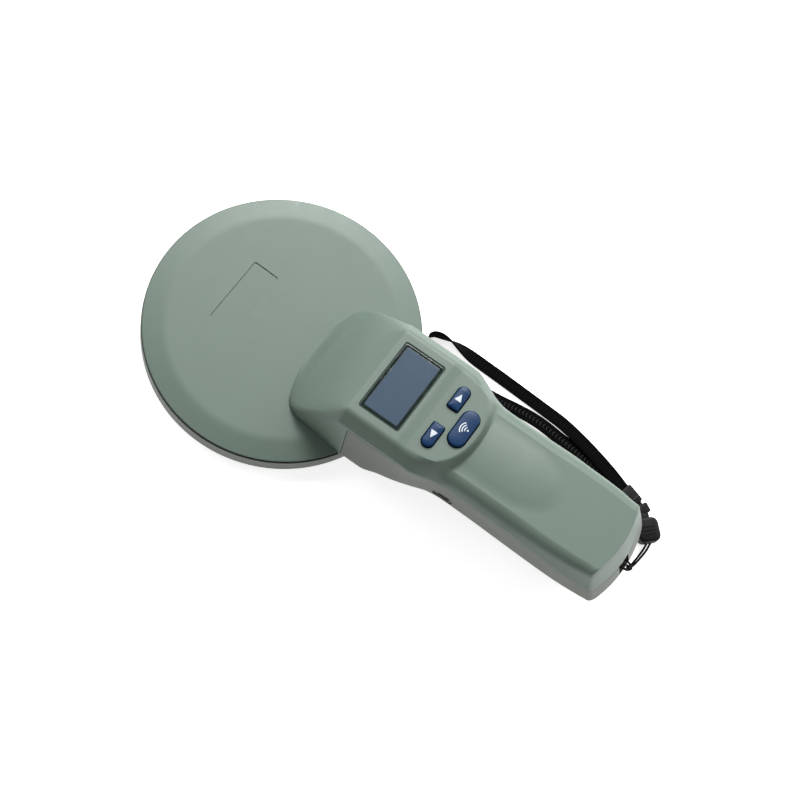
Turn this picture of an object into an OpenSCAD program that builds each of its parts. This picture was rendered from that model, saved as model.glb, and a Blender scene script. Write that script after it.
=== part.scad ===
// Handheld animal microchip scanner: a round antenna disc, a display pod and a straight grip.
// Row frame: origin at the centre of the disc's flat reading face, +X towards the butt of the grip,
// +Z up through the display. Handle frame: hinged up by "tilt" about the root, u along the grip.

/* [Antenna disc] */
// Diameter of the disc at its lower rim
disc_d = 151.2; // [125:0.2:182]
// Thickness of the disc at its flat top
disc_h = 14.4; // [12:0.2:18]
// Height of the joint line on the disc's rim
disc_part_z = 11.4; // [9:0.1:12]
// Width of the sloped ring round the flat top
disc_bevel = 11.5; // [8:0.5:16]
// Radius of the reading face's edge
disc_edge_r = 3; // [1:0.5:4]

/* [Handle] */
// Upward angle of the handle from the disc
tilt = 4; // [0:0.5:8]
// Overlap of the handle's root and the disc
root_overlap = 15.6; // [13:0.2:19]
// Length of the grip past the deck
grip_l = 98.6; // [82:0.2:120]
// Width of the grip
grip_w = 53.2; // [48:0.2:64]
// Width of the pod's base
pod_w = 77.2; // [70:0.2:93]
// Width of the display deck
deck_w = 54.8; // [52:0.2:66]
// Height of the display deck above the reading face
deck_z = 46; // [44:0.5:56]
// Height of the handle's underside above the reading face
base_z = 9; // [7:0.5:11]
// Height of the grip's back at its middle
grip_z = 39.6; // [37:0.2:44]
// Height of the grip's back at the butt
butt_z = 30.6; // [29:0.2:37]
// Plan radius of the butt end
butt_r = 70; // [50:1:90]
// Draft angle of the butt end
butt_draft = 16; // [5:1:20]

/* [Shell] */
// Side wall thickness
wall = 2.2; // [1.8:0.1:2.6]
// Roof thickness under the deck
roof = 3; // [2.4:0.1:3.6]
// Sliding clearance round a button
button_gap = 0.25; // [0.15:0.05:0.4]
// Assembly clearance between fixed pieces
fit_gap = 0.15; // [0.1:0.05:0.3]

/* [Display] */
// Length of the window along the handle
window_l = 24.8; // [22:0.2:30]
// Width of the window across the handle
window_w = 43.4; // [38:0.2:46]
// Black border round the picture area
window_border = 2.5; // [1.8:0.1:3]
// Distance from the root to the window
window_u0 = 3.5; // [3:0.1:5]

/* [Buttons] */
// Width of an arrow button
arrow_w = 6.5; // [5.5:0.1:8]
// Length of an arrow button
arrow_l = 14; // [11.5:0.2:15]
// Gap between the two arrow buttons
arrow_split = 10.8; // [9:0.2:12]
// Width of the scan button
scan_w = 9.4; // [8:0.1:11.4]
// Length of the scan button
scan_l = 21.6; // [18:0.2:26]
// Height that a button stands proud
button_proud = 0.9; // [0.5:0.1:1.4]
// Travel of a button
button_travel = 0.8; // [0.5:0.1:1]

/* [Electronics] */
// Diameter of the battery cell
cell_d = 18.4; // [14:0.1:19]
// Length of the battery cell
cell_l = 65; // [50:1:70]
// Outer diameter of the antenna winding
coil_d = 132; // [108:1:134]
// Board thickness
board_t = 1.6; // [1:0.1:2]
// Height of a tactile switch with its plunger
switch_h = 2; // [1.8:0.1:2.4]

/* [Fasteners and strap] */
// Shank diameter of a case screw
screw_d = 2.9; // [2.5:0.1:3.5]
// Head diameter of a case screw
screw_head_d = 5.6; // [5:0.1:6.5]
// Diameter of the strap pin
pin_d = 3.4; // [3:0.1:4]
// Width of the strap's webbing
band_w = 7.2; // [6:0.2:8.6]
// Thickness of the strap's webbing
band_t = 1.2; // [1:0.1:1.4]
// Diameter of the strap's string
string_d = 1.2; // [1:0.1:1.5]

/* [Hidden] */
$fn = 64;

disc_r = disc_d / 2;
flat_r = disc_r - 0.6 - disc_bevel;      // radius of the flat top
lip_r = disc_r - 0.6;                    // edge of the upper shell
groove = 0.75;                           // depth of the line between the shells
root_x = disc_r - root_overlap;
window_u = window_u0 + window_l / 2;
arrow_u = window_u0 + window_l + 11.6 + arrow_w / 2;
scan_u = arrow_u + arrow_w / 2 + 3.1 + scan_w / 2;
deck_l = scan_u + scan_w / 2 + 3.1;
handle_l = deck_l + grip_l;
neck_l = 41;                             // how far the neck runs back over the disc
step_u = 6;                              // where the joint line steps up on to the pod
side_z = deck_z - 6.5;                   // top of the pod's side, under the deck's bevel
floor_z = base_z + wall;                 // inside floor of the handle
roof_z = deck_z - roof;                  // inside roof under the deck
board_z = roof_z - 7.4 - board_t;        // underside of the main board
board_top = board_z + board_t;
board_u0 = -8;
board_u1 = deck_l;
board_w = deck_w - 8.8;
lens_t = 1.4;
lens_top = deck_z - 0.3;
gasket_t = 0.5;
ledge_z = lens_top - lens_t - gasket_t;
pocket_w = 9;                            // strap pocket in the butt
pocket_h = 9;
pocket_z = base_z + 3.4;
pin_u = handle_l - 6.4;
port_u = deck_l + 1.5;
charge_t = board_t * 0.75;
usb_h = 3.3;
charge_z = floor_z + 2.7;                // underside of the charge board, on its plinth
port_z = charge_z + charge_t + usb_h / 2;
port_y = -base_hw(port_u);
cell_u = deck_l + 10;
cell_z = floor_z + cell_d / 2 + 0.3;
coil_w = 1.8;
coil_h = 4.4;
coil_z = disc_h / 2 - 0.3;
case_screw_l = 7.4;
disc_screw_r = 44;

upper_color = [0.50, 0.58, 0.53];
lower_color = [0.44, 0.46, 0.42];
button_color = [0.08, 0.20, 0.42];
board_color = [0.05, 0.32, 0.16];
black = [0.06, 0.06, 0.06];
steel = [0.70, 0.71, 0.72];

// A point of the handle frame in the row frame, for outlines and routes
function on_row(p) = [root_x + p[0] * cos(tilt) - p[2] * sin(tilt), p[1],
    p[0] * sin(tilt) + p[2] * cos(tilt)];
module on_handle() translate([root_x, 0, 0]) rotate([0, -tilt, 0]) children();

// ---- body outline: half widths and heights along the handle ----
function ease(s) = s * s * (3 - 2 * s);
function clamp01(s) = min(1, max(0, s));
function neck_s(u) = clamp01((u + neck_l) / neck_l);
function neck_round(u) = let (s = clamp01(neck_s(u) / 0.62)) sqrt(max(0.0025, 1 - (1 - s) * (1 - s)));
function base_hw(u) = u < 0 ? pod_w / 2 * neck_round(u) : lookup(u, [[0, pod_w / 2],
    [0.30 * deck_l, pod_w / 2 - 0.6], [0.45 * deck_l, pod_w / 2 - 3],
    [0.60 * deck_l, mix(pod_w, grip_w, 0.44) / 2], [0.76 * deck_l, mix(pod_w, grip_w, 0.72) / 2],
    [0.90 * deck_l, mix(pod_w, grip_w, 0.93) / 2], [deck_l + 6, grip_w / 2],
    [deck_l + 0.40 * grip_l, grip_w / 2 + 0.8], [deck_l + 0.70 * grip_l, grip_w / 2 + 1.1],
    [handle_l, grip_w / 2 - 0.2]]);
function side_hw(u) = u < 0 ? min(base_hw(u) * 0.96, (deck_w / 2 + 6) * pow(neck_s(u), 0.35)) :
    lookup(u, [[0, deck_w / 2 + 6], [0.68 * deck_l, deck_w / 2 + 6], [0.80 * deck_l, mix(deck_w / 2 + 6,
    grip_w / 2 + 0.8, 0.4)], [0.95 * deck_l, grip_w / 2 + 1.2], [deck_l + 10, grip_w / 2 + 0.6],
    [deck_l + 0.40 * grip_l, grip_w / 2 + 1], [handle_l, grip_w / 2 - 1.2]]);
function top_hw(u) = u < 0 ? min(base_hw(u) * 0.8, deck_w / 2 * pow(neck_s(u), 0.5)) :
    lookup(u, [[0, deck_w / 2], [0.75 * deck_l, deck_w / 2], [0.95 * deck_l, grip_w / 2 - 2.2],
    [handle_l, grip_w / 2 - 3.2]]);
function top_z(u) = u < 0 ? mix(disc_h + 1.5, deck_z - 0.4, mix(neck_s(u), ease(neck_s(u)), 0.6)) :
    lookup(u, [[0, deck_z - 0.4], [0.72 * deck_l, deck_z - 0.4], [0.96 * deck_l, grip_z + 0.4],
    [deck_l + 4, grip_z], [deck_l + 0.42 * grip_l, grip_z + 0.4], [deck_l + 0.60 * grip_l,
    mix(grip_z, butt_z, 0.22)], [deck_l + 0.76 * grip_l, mix(grip_z, butt_z, 0.55)],
    [handle_l - 8, butt_z]]);
function side_top(u) = u < 0 ? mix(disc_h, side_z, ease(neck_s(u))) :
    lookup(u, [[0, side_z], [0.5 * deck_l, side_z - 2], [0.72 * deck_l, side_z - 4.4],
    [0.95 * deck_l, grip_z - 6], [deck_l + 0.42 * grip_l, grip_z - 6.6], [handle_l - 8, butt_z - 5.6]]);
function crown(u) = u < 0 ? 1.2 * (1 - neck_s(u)) : lookup(u, [[0, 0], [0.8 * deck_l, 0],
    [deck_l + 6, 1.4], [handle_l, 1.4]]);
function mix(a, b, t) = a + (b - a) * t;

// The butt end leans out towards the underside and bulges in plan
function butt_u(y, z, d) = handle_l - butt_r
    + sqrt(pow(butt_r - d - (z - base_z - 3) * tan(butt_draft), 2) - y * y);
warp_u = handle_l - 22;
function warp(u, y, z, d) = u <= warp_u ? u :
    mix(warp_u, butt_u(y, z, d), (u - warp_u) / (handle_l - warp_u));

// One ring of the body: side is the wall, up the roof, both zero on the outside
function half_ring(u, side, up) = let (wb = base_hw(u) - side, ws = side_hw(u) - side,
    wt = top_hw(u) - 0.8 * side, zb = u >= 0 ? base_z + side : side > 0 ? base_z - 3 : base_z + 1,
    zt = top_z(u) - up, zs = min(side_top(u) - 0.4 * up, zt - 1), c = crown(u))
    [[0, zb], [wb * 0.7, zb], [wb - 2.4, zb + 0.9], [wb - 0.6, zb + 2.8], [wb, zb + 5.4],
     [mix(wb, ws, 0.9), mix(zb + 5.4, zs, 0.85)], [ws, zs], [mix(ws, wt, 0.35) + 0.3, mix(zs, zt, 0.55)],
     [wt, zt], [wt * 0.6, zt + c * 0.65], [0, zt + c]];
function ring(u, side, up) = let (h = half_ring(u, side, up), n = len(h) - 1)
    [for (p = h) [warp(u, p[0], p[1], side), p[0], p[1]],
     for (i = [n - 1:-1:1]) [warp(u, h[i][0], h[i][1], side), -h[i][0], h[i][1]]];
function centre(r) = [for (k = [0:2]) (min([for (p = r) p[k]]) + max([for (p = r) p[k]])) / 2];

// Skin a list of equal rings and close both ends on a centre point
module skin(rings) {
    n = len(rings[0]);
    m = len(rings);
    points = [for (r = rings) each r, centre(rings[0]), centre(rings[m - 1])];
    sides = [for (i = [0:m - 2]) for (j = [0:n - 1]) let (a = i * n + j, b = i * n + (j + 1) % n)
        each [[a, a + n, b], [b, a + n, b + n]]];
    ends = [for (j = [0:n - 1]) each [[j, (j + 1) % n, m * n],
        [(m - 1) * n + (j + 1) % n, (m - 1) * n + j, m * n + 1]]];
    polyhedron(points, concat(sides, ends), convexity = 6);
}

body_us = concat([-40, -37, -32, -26, -20, -14, -7, 0, 10, 20],
    [for (f = [0.42, 0.5, 0.58, 0.66, 0.74, 0.82, 0.9, 0.97]) f * deck_l],
    [deck_l + 6, deck_l + 18, deck_l + 30, deck_l + 42, deck_l + 52, deck_l + 62],
    [warp_u, handle_l - 14, handle_l - 7, handle_l - 1.2]);
module body_outer() skin(concat([for (u = body_us) ring(u, 0, 0)],
    [[for (p = ring(handle_l, 0, 0)) [p[0], p[1] * 0.95, mix(p[2], base_z + 10, 0.1)]]]));
module body_inner() skin([for (u = concat(body_us, [handle_l])) if (u > -36) ring(u, wall, roof)]);

// Plan of the display deck: straight sides and a round end
module deck_plan(grow) {
    r = deck_l * 0.34;
    translate([-2, -deck_w / 2 - grow]) square([deck_l - r + 2, deck_w + 2 * grow]);
    intersection() {
        translate([deck_l - r, 0]) scale_circle(r + grow, deck_w / 2 + grow);
        translate([deck_l - r - 1, -deck_w]) square([deck_l, 2 * deck_w]);
    }
}
module scale_circle(a, b) polygon([for (t = [0:7.5:352.5]) [a * cos(t), b * sin(t)]]);
module deck() hull() {
    translate([0, 0, deck_z - 1]) linear_extrude(1) deck_plan(0);
    translate([0, 0, side_z - 1.5]) linear_extrude(1) deck_plan(5.4);
}

// ---- the joint between the shells ----
function joint_z(u) = lookup(u, [[step_u, side_z], [0.5 * deck_l, side_z - 2],
    [0.72 * deck_l, side_z - 4.4], [0.95 * deck_l, grip_z - 6], [deck_l + 0.42 * grip_l, grip_z - 6.8],
    [handle_l - 8, butt_z - 5.8], [handle_l + 20, butt_z - 7]]);
joint_us = [step_u, 0.5 * deck_l, 0.72 * deck_l, 0.95 * deck_l, deck_l + 0.42 * grip_l,
    handle_l - 8, handle_l + 20];
module side_prism(points) rotate([90, 0, 0]) linear_extrude(300, center = true) polygon(points);
module lower_region() side_prism(concat([[-200, -50], [-200, disc_part_z],
    [on_row([step_u, 0, disc_part_z])[0], disc_part_z]],
    [for (u = joint_us) let (p = on_row([u, 0, joint_z(u)])) [p[0], p[2]]], [[400, -50]]));
module upper_region() side_prism(concat([[-200, 120], [-200, disc_part_z],
    [on_row([step_u, 0, disc_part_z])[0], disc_part_z]],
    [for (u = joint_us) let (p = on_row([u, 0, joint_z(u)])) [p[0], p[2]]], [[400, 120]]));

// ---- disc ----
module disc_outer() rotate_extrude($fn = 128) polygon(concat([[0, 0], [disc_r - disc_edge_r, 0]],
    [for (a = [15:15:90]) [disc_r - disc_edge_r + disc_edge_r * sin(a), disc_edge_r * (1 - cos(a))]],
    [[disc_r - 0.7, disc_part_z - 0.4], [disc_r - 0.6 - groove, disc_part_z - 0.4],
     [lip_r - groove, disc_part_z + 0.3], [lip_r, disc_part_z + 0.3], [lip_r, disc_part_z + 0.9],
     [flat_r, disc_h], [0, disc_h]]));
module disc_inner() rotate_extrude($fn = 128) polygon([[0, wall], [disc_r - 4.5, wall],
    [disc_r - 3.1, wall + 1.6], [disc_r - 3.3, disc_part_z], [flat_r - 1, disc_h - wall], [0, disc_h - wall]]);

// ---- fixings ----
disc_screws = [for (a = [60, 180, 300]) [disc_screw_r * cos(a), disc_screw_r * sin(a)]];
handle_screws = [[9, pod_w / 2 - 10.6, 26], [9, -(pod_w / 2 - 10.6), 26],
    [handle_l - 17, grip_w / 2 - 8.6, 19], [handle_l - 17, -(grip_w / 2 - 8.6), 19]];
board_fixings = [for (u = [-4, 0.84 * deck_l], s = [-1, 1]) [u, s * (board_w / 2 - 4)]];
module case_screw() {
    cylinder(d = screw_head_d, h = 2);
    translate([0, 0, 1.5]) cylinder(d = screw_d, h = case_screw_l);
}
module screw_cut(seat) {
    translate([0, 0, -20]) cylinder(d = screw_head_d + 0.5, h = 20 + 2.6);
    cylinder(d = screw_d + 0.4, h = seat);
}
// Lower posts reach to "meet"; upper posts come down to it and take the thread
module lower_posts() {
    for (p = disc_screws) translate([p[0], p[1], 0.5]) cylinder(d = 8, h = 5.5);
    on_handle() for (p = handle_screws) translate([p[0], p[1], base_z + 0.5]) cylinder(d = 8, h = p[2] - base_z - 0.5);
}
module lower_cuts() {
    for (p = disc_screws) translate([p[0], p[1], 0]) screw_cut(7);
    on_handle() for (p = handle_screws) translate([p[0], p[1], p[2] - 6]) screw_cut(7);
}
module upper_posts() {
    for (p = disc_screws) translate([p[0], p[1], 6 + fit_gap]) cylinder(d = 6.6, h = disc_h - 6.8 - fit_gap);
    on_handle() {
        for (p = handle_screws) translate([p[0], p[1], p[2] + fit_gap])
            cylinder(d = 6.6, h = top_z(p[0]) - 1.6 - p[2] - fit_gap);
        for (p = board_fixings) translate([p[0], p[1], board_top])
            cylinder(d = 5, h = min(top_z(p[0]), deck_z) - 1.2 - board_top);
    }
}
module upper_cuts() {
    for (p = disc_screws) translate([p[0], p[1], 5]) cylinder(d = screw_d + 0.06, h = 6);
    on_handle() {
        for (p = handle_screws) translate([p[0], p[1], p[2] - 1]) cylinder(d = screw_d + 0.06, h = 7);
        for (p = board_fixings) translate([p[0], p[1], board_top - 1]) cylinder(d = 2.06, h = 6.5);
    }
}

// ---- shells ----
module window_cut() {
    translate([window_u - window_l / 2, -window_w / 2, ledge_z]) cube([window_l, window_w, 10]);
    translate([window_u - window_l / 2 + 1.6, -window_w / 2 + 1.5, roof_z - 3])
        cube([window_l - 3.2, window_w - 3, 10]);
}
module key_holes() {
    translate([0, 0, roof_z - 1]) linear_extrude(roof + 3) {
        arrow_plan(1, button_gap);
        arrow_plan(-1, button_gap);
        scan_plan(button_gap);
    }
    translate([0, 0, board_top + 1]) linear_extrude(roof_z - board_top - 1) {
        arrow_plan(1, 1.2);
        arrow_plan(-1, 1.2);
    }
    translate([scan_u - scan_w / 2 - 1.2, -scan_l / 2 - 1.4, board_top + 1])
        cube([scan_w + 2.6, scan_l + 2.8, roof_z - board_top - 1]);
}
module cavity() {
    disc_inner();
    on_handle() body_inner();
}
module upper_shell() color(upper_color) difference() {
    intersection() {
        union() {
            disc_outer();
            on_handle() body_outer();
            on_handle() deck();
        }
        upper_region();
    }
    difference() {
        cavity();
        upper_posts();
    }
    upper_cuts();
    on_handle() window_cut();
    on_handle() key_holes();
}
module strap_block() translate([pin_u - 6.5, -pocket_w / 2 - 2, base_z + 0.5])
    cube([16, pocket_w + 4, pocket_h + 5]);
module strap_pocket() translate([pin_u - 4.2, -pocket_w / 2, pocket_z]) cube([30, pocket_w, pocket_h]);
module port_cut() translate([port_u, 0, port_z]) rotate([90, 0, 0]) {
    obround(9.6, usb_h + 0.5, grip_w);
    translate([0, 0, -port_y - 0.5]) obround(11.6, 5.4, 10);
}
module cell_rib(u) translate([u, -cell_d / 2 - 2, floor_z - 0.5]) difference() {
    cube([2, cell_d + 4, cell_d * 0.42]);
    translate([-1, cell_d / 2 + 2, cell_z - floor_z + 0.5]) rotate([0, 90, 0]) cylinder(d = cell_d + 0.3, h = 4);
}
module lower_shell() color(lower_color) difference() {
    intersection() {
        union() {
            disc_outer();
            on_handle() body_outer();
        }
        lower_region();
    }
    difference() {
        cavity();
        lower_posts();
        on_handle() {
            strap_block();
            translate([port_u - 7, port_y + 9, floor_z - 0.5]) cube([14, 10, charge_z - floor_z + 0.5]);
            cell_rib(cell_u + 8);
            cell_rib(cell_u + cell_l - 10);
        }
    }
    lower_cuts();
    on_handle() {
        strap_pocket();
        port_cut();
        translate([pin_u, 0, base_z + 1.6]) cylinder(d = pin_d + 0.04, h = pocket_h + 5);
    }
}

// ---- display ----
module panel(l, w, z, h) translate([window_u - l / 2, -w / 2, z]) cube([l, w, h]);
module display_window() color([0.75, 0.85, 0.85, 0.4]) on_handle()
    panel(window_l - 2 * fit_gap, window_w - 2 * fit_gap, lens_top - lens_t, lens_t);
module window_gasket() color(black) on_handle() difference() {
    panel(window_l - 2 * fit_gap, window_w - 2 * fit_gap, ledge_z, gasket_t);
    panel(window_l - 2 * window_border, window_w - 2 * window_border, ledge_z - 1, gasket_t + 2);
}
module lcd_panel() color([0.36, 0.42, 0.50]) on_handle()
    panel(window_l - 4, window_w - 3.8, ledge_z - 2, 2);
module lcd_backlight() color([0.9, 0.9, 0.88]) on_handle()
    panel(window_l - 4, window_w - 3.8, ledge_z - 4.6, 2.6);
module lcd_pins() color(steel) on_handle() for (i = [0:9])
    translate([window_u0 + 4, (i - 4.5) * 2.54 - 0.25, board_top])
        cube([0.5, 0.5, ledge_z - 4.6 - board_top]);

// ---- buttons ----
module obround(l, w, h) linear_extrude(h) {
    for (s = [-1, 1]) translate([s * (l - w) / 2, 0]) circle(d = w);
    square([l - w, w], center = true);
}
// A flat inner end and a round outer end, on side s
module arrow_plan(s, grow) scale_y(s) translate([arrow_u, arrow_split / 2]) {
    translate([-arrow_w / 2 - grow, -grow]) square([arrow_w + 2 * grow, arrow_l - arrow_w / 2 + grow]);
    translate([0, arrow_l - arrow_w / 2]) circle(d = arrow_w + 2 * grow);
}
module scale_y(s) mirror([0, s < 0 ? 1 : 0, 0]) children();
module scan_plan(grow) translate([scan_u, 0]) {
    for (s = [-1, 1]) translate([0, s * (scan_l - scan_w) / 2]) circle(d = scan_w + 2 * grow);
    square([scan_w + 2 * grow, scan_l - scan_w], center = true);
}
stem_z = board_top + switch_h + button_travel + 0.05;
flange_top = roof_z - 0.1;
module key(at_y, at_u) {
    translate([0, 0, flange_top - 0.5]) linear_extrude(deck_z + button_proud - flange_top + 0.5) children(0);
    translate([0, 0, flange_top - 1]) linear_extrude(1) children(1);
    translate([at_u, at_y, stem_z]) cylinder(d = 3.2, h = flange_top - 0.5 - stem_z);
}
arrow_stem = arrow_split / 2 + arrow_l / 2 - 0.6;
module left_button() color(button_color) on_handle() key(-arrow_stem, arrow_u) {
    arrow_plan(-1, 0);
    arrow_plan(-1, 0.8);
}
module right_button() color(button_color) on_handle() key(arrow_stem, arrow_u) {
    arrow_plan(1, 0);
    arrow_plan(1, 0.8);
}
module scan_button() color(button_color) on_handle() key(0, scan_u) {
    scan_plan(0);
    scan_plan(0.8);
}
stems = [[arrow_u, -arrow_stem], [arrow_u, arrow_stem], [scan_u, 0]];
web_z = flange_top - 1 - button_travel - 1.4;
module keypad_web() color([0.75, 0.75, 0.72]) on_handle() difference() {
    union() {
        translate([arrow_u - arrow_w / 2 - 1.5, -board_w / 2 + 5, web_z])
            cube([arrow_w + 2, board_w - 10, 0.9]);
        translate([arrow_u + arrow_w / 2, -scan_l / 2 - 1, web_z]) cube([scan_w + 4.4, scan_l + 2, 0.9]);
        for (p = stems) translate([p[0], p[1], web_z]) cylinder(d = 6.2, h = 1.2);
    }
    for (p = stems) translate([p[0], p[1], web_z - 1]) cylinder(d = 4, h = 4);
}
module keypad_legs() color([0.75, 0.75, 0.72]) on_handle() for (s = [-1, 1]) {
    translate([arrow_u + 1, s * (board_w / 2 - 6.2), board_top]) cylinder(d = 1.6, h = web_z - board_top);
    translate([scan_u, s * (scan_l / 2), board_top]) cylinder(d = 1.6, h = web_z - board_top);
}

// ---- electronics ----
module main_board() color(board_color) on_handle() difference() {
    translate([board_u0, -board_w / 2, board_z]) cube([board_u1 - board_u0, board_w, board_t]);
    for (p = board_fixings) translate([p[0], p[1], board_z - 1]) cylinder(d = 2.4, h = board_t + 2);
}
module chip(u, y, l, w, h) translate([u - l / 2, y - w / 2, board_z - h]) cube([l, w, h]);
module board_chips() color(black) on_handle() {
    chip(14, 2, 12, 12, 1.6);
    chip(32, -8, 8, 6, 1.2);
    chip(32, 10, 6, 9, 1.4);
    chip(46, 0, 10, 6, 2.2);
    for (y = [-16, -12, 12, 16]) chip(18, y, 3.2, 1.8, 1);
}
module tact_switches() color(black) on_handle() for (p = stems) translate([p[0], p[1], board_top]) {
    translate([-3, -3, 0]) cube([6, 6, switch_h - 0.7]);
    cylinder(d = 2.8, h = switch_h);
}
module buzzer() color(black) on_handle() translate([3.5, -13, board_z - 7]) difference() {
    cylinder(d = 12, h = 7);
    translate([0, 0, -1]) cylinder(d = 2, h = 2);
}
module charge_board() color(board_color) on_handle()
    translate([port_u - 9, port_y + 5.2, charge_z]) cube([18, 14, charge_t]);
module charge_parts() color(black) on_handle() {
    for (du = [-6, 6]) translate([port_u + du - 1.5, port_y + 12.5, charge_z + charge_t]) cube([3, 4, 1.4]);
    translate([port_u - 2, port_y + 14, charge_z + charge_t]) cube([4, 4, 1]);
}
module usb_shell() color(steel) on_handle() translate([port_u, port_y + 8.6, port_z]) rotate([90, 0, 0])
    difference() {
        obround(9, usb_h, 8.2);
        translate([0, 0, 0.4]) obround(8.4, usb_h - 0.6, 9);
    }
module usb_tongue() color(black) on_handle() translate([port_u - 3.2, port_y + 1.6, port_z - 0.35])
    cube([6.4, 6.6, 0.7]);
module battery_cell() color([0.15, 0.35, 0.65]) on_handle() translate([cell_u, 0, cell_z])
    rotate([0, 90, 0]) cylinder(d = cell_d, h = cell_l);
module battery_tabs() color(steel) on_handle() for (u = [cell_u - 0.3, cell_u + cell_l])
    translate([u, -3, cell_z - 3]) cube([0.3, 6, 8]);

// ---- round wires: a tube of n sides along a route ----
function unit(v) = v / norm(v);
function tangent(p, i) = unit(p[min(i + 1, len(p) - 1)] - p[max(i - 1, 0)]);
function lifted(t, up) = unit(up - (up * t) * t);
function tube_ring(c, t, up, a, b, n) = let (v = lifted(t, up), w = cross(v, t))
    [for (k = [0:n - 1]) c + a * cos(360 * k / n) * w + b * sin(360 * k / n) * v];
module tube(p, d, up = [0, 0, 1], n = 8) skin([for (i = [0:len(p) - 1])
    tube_ring(p[i], tangent(p, i), up, d / 2, d / 2, n)]);
lead_d = 1.3;
module battery_plug() color([0.9, 0.9, 0.85]) on_handle()
    translate([deck_l - 16, 10, board_z - 5]) cube([7, 6, 5]);
module battery_leads() color([0.7, 0.1, 0.1]) on_handle() {
    tube([[cell_u - 0.3 - lead_d / 2, 0, cell_z - 2], [cell_u - 3, 1, cell_z + 1], [deck_l + 2, 6, cell_z + 5],
        [deck_l - 4, 11, board_z - 4], [deck_l - 9, 11.5, board_z - 2.5]], lead_d, [0, 0, 1]);
    tube([[cell_u + cell_l + 0.3 + lead_d / 2, 0, cell_z + 2], [cell_u + cell_l + 1.8, 10.5, cell_z + 3],
        [cell_u + cell_l - 4, 14, cell_z + 4], [cell_u + cell_l / 2, 14, cell_z + 4], [cell_u + 6, 14, cell_z + 5],
        [deck_l + 2, 14, board_z - 5], [deck_l - 4, 14, board_z - 3], [deck_l - 9, 14, board_z - 2.5]],
        lead_d, [0, 0, 1]);
}
module antenna_former() color([0.85, 0.85, 0.8]) rotate_extrude($fn = 128) polygon([
    [coil_d / 2 - 5, wall + 0.05], [coil_d / 2 + 0.6, wall + 0.05], [coil_d / 2 + 0.6, coil_z - coil_h / 2],
    [coil_d / 2 - coil_w, coil_z - coil_h / 2], [coil_d / 2 - coil_w, coil_z + coil_h / 2],
    [coil_d / 2 + 0.6, coil_z + coil_h / 2], [coil_d / 2 + 0.6, coil_z + coil_h / 2 + 1],
    [coil_d / 2 - 3.4, coil_z + coil_h / 2 + 1], [coil_d / 2 - 3.4, wall + 1.6], [coil_d / 2 - 5, wall + 1.6]]);
module antenna_coil() color([0.72, 0.40, 0.16]) rotate_extrude($fn = 128)
    translate([coil_d / 2 - coil_w, coil_z - coil_h / 2 + 0.02]) square([coil_w, coil_h - 0.04]);
module antenna_leads() color([0.8, 0.7, 0.1]) for (s = [-1, 1])
    tube([[coil_d / 2 - 3, s * 3, 8], [coil_d / 2 - 7, s * 3, 8.4], on_row([-7, s * 3, 13]),
        on_row([-9, s * 3, 22]), on_row([-7, s * 3, board_z - 4]), on_row([-6, s * 3, board_z])],
        lead_d, [1, 0, 0.2]);

// ---- screws ----
module case_screws() color(steel) {
    for (p = disc_screws) translate([p[0], p[1], 0.6]) case_screw();
    on_handle() for (p = handle_screws) translate([p[0], p[1], p[2] - 5.4]) case_screw();
}
module board_screws() color(steel) on_handle() for (p = board_fixings) translate([p[0], p[1], board_z - 1.4]) {
    cylinder(d = 3.8, h = 1.4);
    cylinder(d = 2, h = 6.5);
}

// ---- wrist strap, lying on the surface that the disc stands on ----
rest_z = 0.2;                            // lowest point of the strap
// String: from the buckle up to the pin, round it and back
string_route = [[225.6, 27, 3], [226.2, 22.5, 1.2], [225.8, 17, 1], [225, 12, 2.4], [223.9, 8.4, 6],
    [223, 6.2, 10.4], [222.5, 4.4, 15.4], [221.8, 3.2, 20.4], [220.2, 2.7, 24.9], [217, 2.5, 27.1],
    [213.4, 2.5, 27.6], [210.9, 1.7, 27.6], [210, 0, 27.6], [210.9, -1.7, 27.6], [213.4, -2.5, 27.6],
    [217, -2.3, 27.1], [220.2, -1.2, 24.9], [221.6, 0.8, 20.4], [222, 2.6, 15.4], [222.3, 4.9, 10.4],
    [222.9, 7.4, 6], [223.8, 11.4, 2.4], [224.4, 16.6, 1], [224.6, 22, 1.2], [224, 27, 3]];
knot_at = [222.65, 5.55, 10.4];
// Webbing: x, y, lift above the surface and roll up on to its edge
band_route = [[198, 41.8, 0, 0], [187, 43.6, 0, 0], [170, 44.6, 0, 0], [155, 45.6, 0, 0], [140, 46.2, 0, 0],
    [127, 44.8, 0, 0], [114, 42.4, 0, 0], [102, 41.2, 0, 0], [91, 41.4, 0, 5], [82, 42.4, 0, 35],
    [75, 43.4, 0, 70], [69.5, 44.6, 0, 90], [65.4, 46, 0, 90], [64, 48.6, 0, 90], [65.6, 51.2, 0, 90],
    [69.5, 52.8, 0, 90], [75, 53.6, 0, 70], [82, 54, 0, 35], [91, 54.2, 0, 5], [102, 54.3, 0, 0],
    [114, 54.3, 0, 0], [127, 54.2, 0, 0], [140, 53.9, 0.4, 0], [150, 53.3, 1.3, 0], [160, 52, 1.5, 0],
    [170, 50.2, 1.5, 0], [180, 48, 1.5, 0], [189, 45.6, 1.5, 0], [198, 42.7, 1.5, 0]];
band_line = [for (p = band_route) [p[0], p[1],
    rest_z + p[2] + band_w / 2 * abs(sin(p[3])) + band_t / 2 * abs(cos(p[3]))]];
function band_up(i) = let (t = tangent(band_line, i), r = band_route[i][3])
    cos(r) * [0, 0, 1] + sin(r) * unit(cross([0, 0, 1], t));
function band_ring(i) = let (t = tangent(band_line, i), v = lifted(t, band_up(i)), w = cross(v, t))
    [for (q = [[1, 0.5], [0.86, 1], [-0.86, 1], [-1, 0.5], [-1, -0.5], [-0.86, -1], [0.86, -1], [1, -0.5]])
        band_line[i] + q[0] * band_w / 2 * w + q[1] * band_t / 2 * v];
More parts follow.
